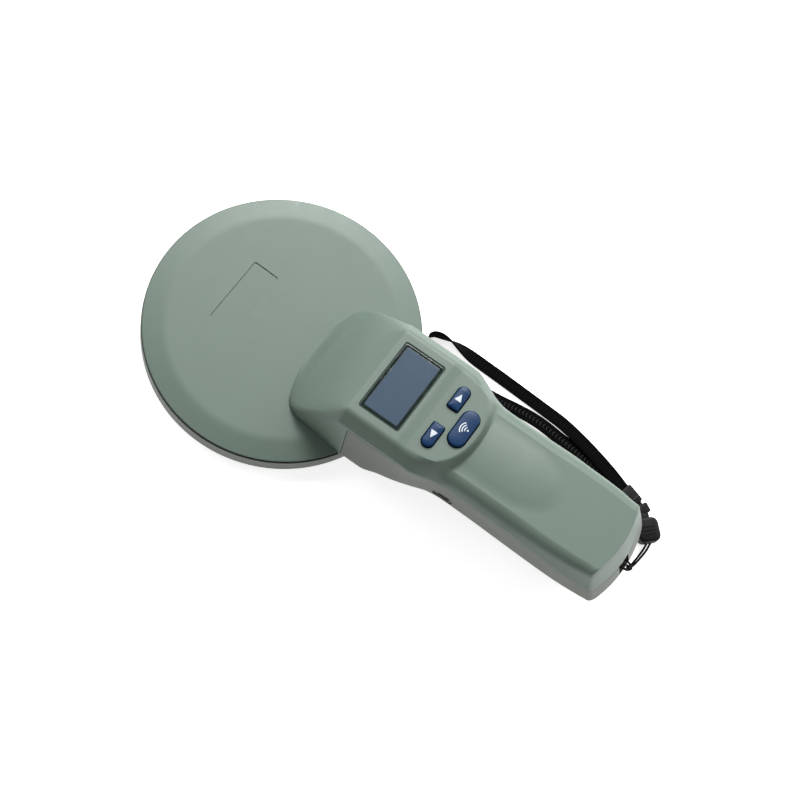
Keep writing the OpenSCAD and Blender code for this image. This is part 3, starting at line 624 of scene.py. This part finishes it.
def butt_warp(p, inset=0.0):
    """Leans the last stretch of the handle outwards at its foot and bulges it in plan."""
    start = HANDLE_L - 22
    u, y, z = p.T
    reach = BUTT_R - (z - BASE_Z - 3) * math.tan(BUTT_DRAFT)
    end = HANDLE_L - BUTT_R + np.sqrt(np.maximum(1, reach**2 - y**2))
    t = np.clip((u - start) / (HANDLE_L - start), 0, None)
    return np.column_stack([np.where(u > start, start + t * (end - start), u), y, z])


TOP_N = 44                        # points across half the back


def bend(a, corner, b, n):
    """Points of a short curve from a to b that a corner pulls."""
    t = np.linspace(0, 1, n)[:, None]
    return (1 - t) ** 2 * np.array(a) + 2 * t * (1 - t) * np.array(corner) + t * t * np.array(b)


def towards(a, b, distance, most=0.45):
    """The point that distance from a towards b, but no further than that share of the way."""
    a, b = np.array(a, float), np.array(b, float)
    return a + (b - a) * min(most, distance / np.linalg.norm(b - a))


# how much of the slope between the two corners the upper one's rounding may take
round_share = curve((-NECK_L, 0.7), (-12, 0.65), (-2, 0.45), (46, 0.45), (66, 0.86))


def upper_half(u, inset):
    """(y, z) from the middle of the upper shell's foot, out, up the side and in to the middle of its back."""
    base, side, band = (np.array(c) for c in corners_at(u, inset))
    low = towards(side, base, float(side_round(u)))
    if u < STEP_U:
        foot = np.concatenate([
            np.linspace((0, base[1]), (base[0] * 0.9, base[1]), 4),
            np.linspace(base, low, 9)[:-1],
        ])
    else:
        middle = (0, low[1] - 1.5)
        foot = np.linspace(middle, (low[0] - 0.2, low[1]), 12)
    share = float(round_share(u))
    s_arc = bend(low, side, towards(side, band, float(side_round(u)), 0.97 - share), 7)
    reach = float(band_round(u))
    t_in = max(0.0, band[0] - min(reach, 0.45 * band[0]))
    t_top = (t_in, deck_height(u, t_in, band[0], band[1]))
    fall = 2 * float(crown_curve(u)) * t_in / band[0] ** 2 * (band[0] - t_in)
    tangent = float(smooth((u - 60) / 8) + smooth(-u / 4))
    peak = np.array([band[0], band[1] + tangent * (t_top[1] - fall - band[1])])
    t_arc = bend(towards(peak, side, reach, share), peak, t_top, 13)
    ys = np.linspace(t_in, 0, TOP_N + 1)[1:]
    top = np.array([(y, deck_height(u, y, band[0], band[1])) for y in ys])
    return np.concatenate([foot, s_arc, t_arc, top])


def lower_half(u, inset):
    """(y, z) from the middle of the floor, out, up the side to the seam and in again under the upper shell."""
    base, side, band = (np.array(c) for c in corners_at(u, inset))
    low = towards(side, base, float(side_round(u)))
    lip = low + (base - side) / np.linalg.norm(base - side) * SEAM
    corner = bend((base[0] - 3.8, base[1]), base, towards(base, side, 4.2), 10)
    floor = np.linspace((0, base[1]), corner[0], 6)[:-1]
    wall = np.linspace(corner[-1], lip, 10)[1:]
    rim = np.array([lip + (-0.25, 0.1), lip + (-1.5, 0.0), (lip[0] * 0.5, lip[1] - 1.0), (0, lip[1] - 1.5)])
    return np.concatenate([floor, corner, wall, rim])


def full_ring(half, u, scale=1.0, inset=0.0):
    """A half section and its mirror as one ring of W points, shrunk about its middle for an end cap."""
    ring = np.concatenate([half, (half * (-1, 1))[-2:0:-1]])
    middle = np.array([0, (half[:, 1].min() + half[:, 1].max()) / 2])
    ring = middle + (ring - middle) * scale
    return on_row(butt_warp(np.column_stack([np.full(len(ring), u), ring])))


def body_rings(half_of, us):
    """Sections of a shell's half at each u, then round the butt's edge and in to its middle."""
    rings = [full_ring(half_of(u, 0.0), u) for u in us]
    for a in np.radians((20, 40, 60, 75, 90)):
        u = HANDLE_L - END_EDGE * (1 - math.sin(a))
        rings.append(full_ring(half_of(u, END_EDGE * (1 - math.cos(a))), u))
    end = half_of(HANDLE_L, END_EDGE)
    return rings + [full_ring(end, HANDLE_L, k) for k in (0.85, 0.65, 0.45, 0.25, 0.1)]


def stations(start, step=None):
    """Where sections go along the handle: closer at the neck's foot and round the deck, and clear of a step."""
    front = start + 3 * np.linspace(0, 1, 14)[:-1] ** 2.5 if start < 0 else []
    us = np.concatenate([
        front,
        np.arange(start + 3 if start < 0 else start, 34, 0.8),
        np.arange(34, 70, 0.45),
        np.arange(70, HANDLE_L - 2.6, 1.3),
    ])
    return [u for u in us if step is None or abs(u - step) > 0.3] + [HANDLE_L - END_EDGE]


# ---------------------------------------------------------------- pockets
def key_plan(u0, half_u, y_in, y_out):
    """Outline of an arrow button: flat at y_in, with a full round at y_out."""
    sign = 1 if y_out > y_in else -1

    def plan(grow):
        r = half_u + grow
        centre = y_out - sign * half_u
        turn = np.linspace(0, math.pi, 19)
        arc = np.column_stack([u0 + r * np.cos(turn), centre + sign * r * np.sin(turn)])
        flat = y_in - sign * grow
        inner = outline_of([(u0 - r, centre), (u0 - r, flat), (u0 + r, flat), (u0 + r, centre)],
                           [0, max(0.1, 0.9 + grow), max(0.1, 0.9 + grow), 0], 5)[1:-1]
        ring = np.concatenate([arc, inner])
        return ring if sign > 0 else ring[::-1]
    return plan


def scan_plan(grow):
    r = SCAN_W / 2 + grow
    run = (SCAN_L - SCAN_W) / 2
    turn = np.linspace(0, math.pi, 21)
    top = np.column_stack([SCAN_U + r * np.cos(turn), run + r * np.sin(turn)])
    return np.concatenate([top, np.column_stack([2 * SCAN_U - top[:, 0], -top[:, 1]])])


window_plan = rounded_plan(WINDOW_L, WINDOW_W, 1.5, WINDOW_U, 0.2)
ARROWS = {
    "left": key_plan(ARROW_U, ARROW_W / 2, -ARROW_SPLIT / 2, -ARROW_SPLIT / 2 - ARROW_L),
    "right": key_plan(ARROW_U, ARROW_W / 2, ARROW_SPLIT / 2, ARROW_SPLIT / 2 + ARROW_L),
}


def pocket(name, plan, floor, top, flare, material):
    """A cutter with straight walls whose mouth flares by a small chamfer at the surface."""
    points, faces = stack(plan, [(0, floor), (0, top - flare), (flare + 0.6, top + 0.6), (flare + 0.6, top + 3)])
    return piece(name, points, faces, material)


def port_ring(width, height, y, extra=0.0):
    """An obround round the charging socket's axis, at that y."""
    r = height / 2 + extra
    run = (width - height) / 2
    turn = np.linspace(-math.pi / 2, math.pi / 2, 13)
    right = np.column_stack([PORT_U + run + r * np.cos(turn), PORT_Z + r * np.sin(turn)])
    left = np.column_stack([PORT_U - run - r * np.cos(turn), PORT_Z - r * np.sin(turn)])
    flat = np.concatenate([right, left])
    return on_row(np.column_stack([flat[:, 0], np.full(len(flat), PORT_Y + y), flat[:, 1]]))


def screw_well(base, axis, length):
    """A cutter for a screw's well, from base along axis, in W."""
    base, axis = np.array(base, float), np.array(axis, float)
    side = np.cross(axis, (0.3, 1, 0.2))
    side /= np.linalg.norm(side)
    other = np.cross(axis, side)
    circle = WELL_R * (np.outer(np.cos(turns(40)), side) + np.outer(np.sin(turns(40)), other))
    return piece("well", *skin([base + circle, base + axis * length + circle]), lower_plastic)


UPPER = (0.104, 0.146, 0.118)
LOWER = (0.088, 0.101, 0.082)
upper_plastic = moulded("upper_moulding", UPPER)
lower_plastic = moulded("lower_moulding", LOWER)
# Near-black plastic laid on the walls of gaps, grooves and holes: painted shade where those openings fall into
# shadow.
painted_gap_shade = moulded("gap_shadow", (0.018, 0.022, 0.024), 0.6)


def make_upper():
    """Neck, pod roof and grip's back, with the window's and the keys' pockets."""
    us = stations(-NECK_L - 0.2, STEP_U)
    before = [u for u in us if u < STEP_U] + [STEP_U - 0.01]
    after = [STEP_U + 0.01] + [u for u in us if u > STEP_U]
    points, faces = skin(body_rings(upper_half, before + after))
    made = piece("upper_handle", points, faces, upper_plastic)
    window = pocket("window_cut", window_plan, 41.6, DECK_Z, 0.25, upper_plastic)
    # The keys' pockets take the near-black gap material on their walls: painted shade in the gaps round the
    # buttons.
    keys = [
        pocket("key_cut", lambda g, plan=plan: plan(g + KEY_GAP), 41.0, KEY_Z, 0.2, painted_gap_shade)
        for plan in (ARROWS["left"], ARROWS["right"], scan_plan)
    ]
    cut(made, [window, *keys])
    stands_for(made, "body", "upper_plastic", "upper_shell")


def make_disc():
    """The disc's lid, with its recessed label panel, and its tray with the reading face and screw wells."""
    low, high = RIM_SPLIT
    lid_side = outline_of([(GROOVE_R - 1, high), (LID_R, high), (LID_R, 12.3),
                           (FLAT_R, DISC_H), (0, DISC_H)], [0, 0.25, 0.7, 2.2, 0], 5)
    inner = [(r, DISC_H) for r in (FLAT_R - 2.6, FLAT_R - 4, 50, 20)]
    points, faces = lathe([*lid_side[:-1], *inner])
    lid = piece("disc_lid", points, faces, upper_plastic, 18)
    label = rounded_plan(LABEL_L, LABEL_W, 1.4, LABEL_X, 0.2)
    hollow = stack(label, [(0, DISC_H - LABEL_DEPTH), (0, DISC_H + 1)], lambda p: p)
    cut(lid, [piece("label_cut", *hollow, upper_plastic)], 18)
    stands_for(lid, "body", "upper_plastic")
    tray_side = outline_of([(DISC_R - 3, 0), (DISC_R, 0.3), (DISC_R, 3.6), (DISC_R - 0.25, low),
                            (GROOVE_R - 1, low)], [1.2, 2.6, 2.0, 0.35, 0], 6)
    points, faces = lathe([(DISC_R - 6, 0), *tray_side])
    tray = piece("disc_tray", points, faces, lower_plastic, 22)
    # A near-black ring lining the rim groove and the tray's top under the lid's edge: a painted shadow line between
    # lid and tray.
    groove = lathe([(DISC_R - 0.75, low - 0.2), (DISC_R - 0.75, low + 0.06), (GROOVE_R, low + 0.1),
                    (GROOVE_R, high + 0.2)])
    stands_for(piece("disc_groove_shade", *groove, painted_gap_shade), "body", "lower_plastic")
    cut(tray, [screw_well((44 * math.cos(a), 44 * math.sin(a), -2), (0, 0, 1), 2.6)
               for a in np.radians((60, 180, 300))])
    stands_for(tray, "body", "lower_plastic", "lower_shell")


def make_lower():
    """Pod sides, grip sides and floor, with the socket's hole, the strap pocket and the screw wells."""
    us = stations(STEP_U + SEAM)
    points, faces = skin(body_rings(lower_half, us))
    made = piece("lower_handle", points, faces, lower_plastic)
    # The socket's hole takes the near-black gap material on its walls: painted shade inside the hole.
    cutters = [
        piece("port_hole", *skin([port_ring(9.4, 3.8, y) for y in (9, -4)]), painted_gap_shade),
        piece("port_recess", *skin([port_ring(12.2, 6.4, 0.6), port_ring(12.2, 6.4, -4, 0.6)]), lower_plastic),
    ]
    a, low, high = POCKET_W / 2, POCKET_Z, POCKET_Z + POCKET_H
    mouth = outline_of([(-a, low), (a, low), (a, high), (-a, high)], 1.2, 5)
    rings = [on_row(np.column_stack([np.full(len(mouth), u), mouth])) for u in (PIN_U - 4.2, HANDLE_L + 8)]
    # The strap pocket takes the near-black gap material on its walls: painted shade inside the pocket.
    cutters.append(piece("pocket_cut", *skin(rings), painted_gap_shade))
    up = on_row([(0, 0, 1)])[0] - on_row([(0, 0, 0)])[0]
    for u, y, depth in ((9, 28, 22.4), (9, -28, 22.4), (143.6, 18, 15.4), (143.6, -18, 15.4)):
        cutters.append(screw_well(on_row([(u, y, 0)])[0], up, depth))
    cut(made, cutters)
    stands_for(made, "body", "lower_plastic")


def make_port_rim():
    """The charging socket's plated mouth, just proud of the recess."""
    section = ((9.2, 1.4), (9.2, 0.25), (9.0, 0.1), (8.4, 0.1), (8.3, 0.25), (8.3, 1.4), (9.2, 1.4))
    points, faces = skin([port_ring(width, width - 5.6, y) for width, y in section], False)
    plate = metal("port_plate", (0.24, 0.24, 0.235), 0.42)
    stands_for(piece("port_rim", points, faces, plate), "body", "tinned_steel")


make_upper()
make_port_rim()
make_disc()
make_lower()


# ---------------------------------------------------------------- display
def flat_piece(name, plan, levels, material, body, slot, *nodes):
    """A flat moulding whose top, the last level, keeps its normals true by one more ring inside it."""
    points, faces = stack(plan, [*levels, (levels[-1][0] - 0.4, levels[-1][1])])
    return stands_for(piece(name, points, faces, material, 20), body, slot, *nodes)


def make_display():
    """Clear window with a printed black border, over a grey-blue liquid crystal panel."""
    active_plan = rounded_plan(WINDOW_L - 2 * BORDER, WINDOW_W - 2 * BORDER, 0.6, WINDOW_U, 0.1, 4)
    edge = Shader("window_rim", (0.075, 0.095, 0.088), 0.15)
    edge.rough(edge.ramp(edge.noise(3, 3), 0.4, 0.7, 0.1, 0.22))
    flat_piece("window_rim", lambda g: window_plan(g - 0.15), [(0, 43.9), (0, 45.35), (-0.25, 45.56)],
               edge.material, "body", "window_glass", "window_gasket")
    s = Shader("window_border", (0.006, 0.016, 0.012), 0.14)
    s.rough(s.ramp(s.noise(5, 3), 0.4, 0.7, 0.10, 0.2))
    s.color(s.mix(s.noise(1.2, 3), (0.004, 0.012, 0.009), (0.009, 0.021, 0.016)))
    flat_piece("window_border", lambda g: window_plan(g - 0.7), [(0, 45.4), (0, 45.58), (-0.06, 45.6)],
               s.material, "body", "black_plastic")
    lcd = Shader("lcd", (0.070, 0.100, 0.155), 0.2)
    wide = lcd.noise(40, 1)
    grid = lcd.add("ShaderNodeTexBrick", offset=0.0)
    turned = lcd.add("ShaderNodeMapping")
    lcd.tree.links.new(lcd.where, turned.inputs["Vector"])
    turned.inputs["Rotation"].default_value = (0, TILT, 0)
    lcd.tree.links.new(turned.outputs[0], grid.inputs["Vector"])
    for key, value in (("Scale", 1.0), ("Mortar Size", 0.00003), ("Brick Width", 0.00034), ("Row Height", 0.00034)):
        grid.inputs[key].default_value = value
    lit = lcd.mix(wide, (0.066, 0.104, 0.160), (0.086, 0.128, 0.184))
    lcd.color(lcd.mix(lcd.math("MULTIPLY", grid.outputs["Fac"], 0.2), lit, (0.045, 0.065, 0.105)))
    flat_piece("lcd_view", active_plan, [(0, 45.5), (0, 45.62), (-0.03, 45.64)], lcd.material, "body", "lcd")
    step = Shader("lcd_frame", (0.02, 0.036, 0.040), 0.3)
    step.color(step.mix(step.noise(0.8, 3), (0.016, 0.030, 0.034), (0.026, 0.044, 0.048)))
    flat_piece("lcd_frame", lambda g: active_plan(g + 0.45), [(0, 45.5), (0, 45.61), (-0.03, 45.62)],
               step.material, "body", "black_plastic")
    glass = Shader("window_glass", (0.01, 0.015, 0.015), 0.05, Alpha=0.10, Specular_IOR_Level=0.5)
    glass.rough(glass.ramp(glass.noise(4, 2), 0.4, 0.7, 0.03, 0.08))
    flat_piece("window_lens", lambda g: window_plan(g - 0.6), [(0, 45.66), (0, 45.72), (-0.15, 45.8)],
               glass.material, "body", "window_glass", "display_window")


make_display()


# ---------------------------------------------------------------- keys
key_blue = moulded("key_blue", (0.0012, 0.024, 0.078), 0.4, 0.3, 0.008, 1.6, 0.25)
key_white = moulded("key_print", (0.50, 0.54, 0.58), 0.5, 0.2, 0.003)


def key_levels(half):
    """Levels of a button: a straight skirt, a rounded shoulder and a shallow dome."""
    top = KEY_TOP
    levels = [(0, KEY_FOOT), (0, top - 0.75), (-0.08, top - 0.45), (-0.28, top - 0.2), (-0.6, top - 0.06),
              (-1.0, top)]
    return levels + [(-g, key_top(half - g, half)) for g in np.linspace(1.4, half - 0.15, 6)]


def key_top(across, half):
    """Height of a button's dome, across mm from its middle line."""
    return KEY_TOP + KEY_DOME * (1 - min(1, abs(across) / (half - 1)) ** 2)


def mark(name, shape, body, half, u0):
    """A thin printed mark, an outline in (u, y), laid over a button's dome."""
    shape = np.concatenate([np.linspace(a, b, 7)[:-1] for a, b in zip(shape, [*shape[1:], shape[0]])])
    hub = (shape.min(axis=0) + shape.max(axis=0)) / 2

    def ring(scale, lift):
        flat = hub + (shape - hub) * scale
        return on_row([(u, y, key_top(u - u0, half) + lift) for u, y in flat])

    levels = [(0.1, -0.1), (1, -0.1), (1, 0.04), *((scale, 0.05) for scale in (0.97, 0.8, 0.6, 0.4, 0.2, 0.08))]
    rings = [ring(scale, lift) for scale, lift in levels]
    stands_for(piece(name, *skin(rings), key_white), body, "button_plastic")


def arc_mark(name, centre, radius, thick, half_angle, body, half, u0):
    """A printed stretch of ring, open towards +u, laid over a button's dome."""
    rings = []
    for t in np.radians(np.linspace(-half_angle, half_angle, 17)):
        edge = [(centre[0] - (radius + k) * math.cos(t), centre[1] + (radius + k) * math.sin(t))
                for k in (thick / 2, -thick / 2)]
        rings.append(on_row([(u, y, key_top(u - u0, half) + lift)
                             for (u, y), lift in zip([*edge, *edge[::-1]], (0.05, 0.05, -0.1, -0.1))]))
    stands_for(piece(name, *skin(rings), key_white), body, "button_plastic")


def make_keys():
    half = ARROW_W / 2
    for side, sign in (("left", -1), ("right", 1)):
        points, faces = stack(ARROWS[side], key_levels(half))
        made = piece(f"{side}_key", points, faces, key_blue)
        stands_for(made, f"{side}_key", "button_plastic", f"{side}_button")
        y = sign * (ARROW_SPLIT / 2 + ARROW_L / 2 - 0.2)
        shape = outline_of([(ARROW_U - 1.95, y - sign * 2.0), (ARROW_U + 1.95, y - sign * 2.0),
                            (ARROW_U, y + sign * 2.3)], 0.35, 3)
        mark(f"{side}_mark", shape, f"{side}_key", half, ARROW_U)
    points, faces = stack(scan_plan, key_levels(SCAN_W / 2))
    stands_for(piece("scan_cap", points, faces, key_blue), "scan_key", "button_plastic", "scan_button")
    centre = (SCAN_U + 2.3, 0)
    dot = [(centre[0] + 0.55 * math.cos(t), 0.55 * math.sin(t)) for t in np.linspace(0, 2 * math.pi, 20)[:-1]]
    mark("scan_mark_dot", dot, "scan_key", SCAN_W / 2, SCAN_U)
    for i, radius in enumerate((1.7, 3.0, 4.3)):
        arc_mark(f"scan_mark_{i}", centre, radius, 0.55, 46, "scan_key", SCAN_W / 2, SCAN_U)


make_keys()


# ---------------------------------------------------------------- materials of the CAD pieces that stay
def board_green():
    s = Shader("board_green", (0.012, 0.11, 0.045), 0.3, Coat_Weight=0.3)
    s.color(s.mix(s.ramp(s.noise(1.6, 4), 0.45, 0.55), (0.010, 0.09, 0.038), (0.016, 0.14, 0.06)))
    return s.material


def finish_cad_nodes():
    tin = metal("tinned", (0.62, 0.63, 0.64), 0.28)
    zinc = metal("zinc", (0.50, 0.51, 0.52), 0.34)
    black = moulded("black_part", (0.02, 0.02, 0.022), 0.4)
    white = moulded("white_part", (0.62, 0.62, 0.58), 0.5)
    looks = {
        board_green(): ("main_board", "charge_board"),
        tin: ("lcd_pins", "battery_tabs"),
        metal("dark_plate", (0.03, 0.03, 0.032), 0.45): ("usb_shell",),
        zinc: ("case_screws", "board_screws", "strap_pin"),
        black: ("board_chips", "tact_switches", "buzzer", "charge_parts", "usb_tongue"),
        white: ("lcd_backlight", "lcd_panel", "battery_plug", "antenna_former"),
        moulded("silicone", (0.5, 0.5, 0.48), 0.7): ("keypad_web", "keypad_legs"),
        moulded("cell_sleeve", (0.03, 0.12, 0.35), 0.25): ("battery_cell",),
        moulded("wire_jacket", (0.35, 0.03, 0.02), 0.5): ("battery_leads", "antenna_leads"),
        metal("enamelled_copper", (0.60, 0.24, 0.08), 0.3): ("antenna_coil",),
    }
    for material, names in looks.items():
        for name in names:
            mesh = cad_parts[name].data
            mesh.materials.clear()
            mesh.materials.append(material)


finish_cad_nodes()


# ---------------------------------------------------------------- studio
def area_light(name, at, aim, size, power):
    data = bpy.data.lights.new(name, "AREA")
    data.size, data.energy = size, power
    light = linked(name, data)
    light.location = at
    light.rotation_mode = "QUATERNION"
    light.rotation_quaternion = (Vector(aim) - Vector(at)).to_track_quat("-Z", "Y")


def make_studio():
    mesh = bpy.data.meshes.new("floor")
    mesh.from_pydata([(x, y, -0.1 * MM) for x, y in rectangle(0, 6, 6)], [], [(0, 1, 2, 3)])
    pale = Shader("floor_paper", (0.9, 0.9, 0.9), 0.9, Emission_Strength=0.75)
    pale.bsdf.inputs["Emission Color"].default_value = (1, 1, 1, 1)
    mesh.materials.append(pale.material)
    linked("floor", mesh)
    world = bpy.data.worlds.new("studio")
    world.use_nodes = True
    sky = world.node_tree.nodes["Background"]
    sky.inputs["Color"].default_value = (1, 1, 1, 1)
    ray = world.node_tree.nodes.new("ShaderNodeLightPath")
    bright = world.node_tree.nodes.new("ShaderNodeMapRange")
    bright.inputs["To Min"].default_value = 0.2
    world.node_tree.links.new(ray.outputs["Is Camera Ray"], bright.inputs["Value"])
    world.node_tree.links.new(bright.outputs["Result"], sky.inputs["Strength"])
    bpy.context.scene.world = world
    bpy.context.scene.view_settings.view_transform = "Standard"
    middle = (0.07, 0, 0.02)
    area_light("key", (-0.6, 1.25, 1.3), middle, 1.0, 54)
    area_light("back", (1.0, 1.1, 1.0), middle, 0.9, 16)
    area_light("side", (-1.4, 0.1, 1.2), middle, 1.0, 9)


make_studio()
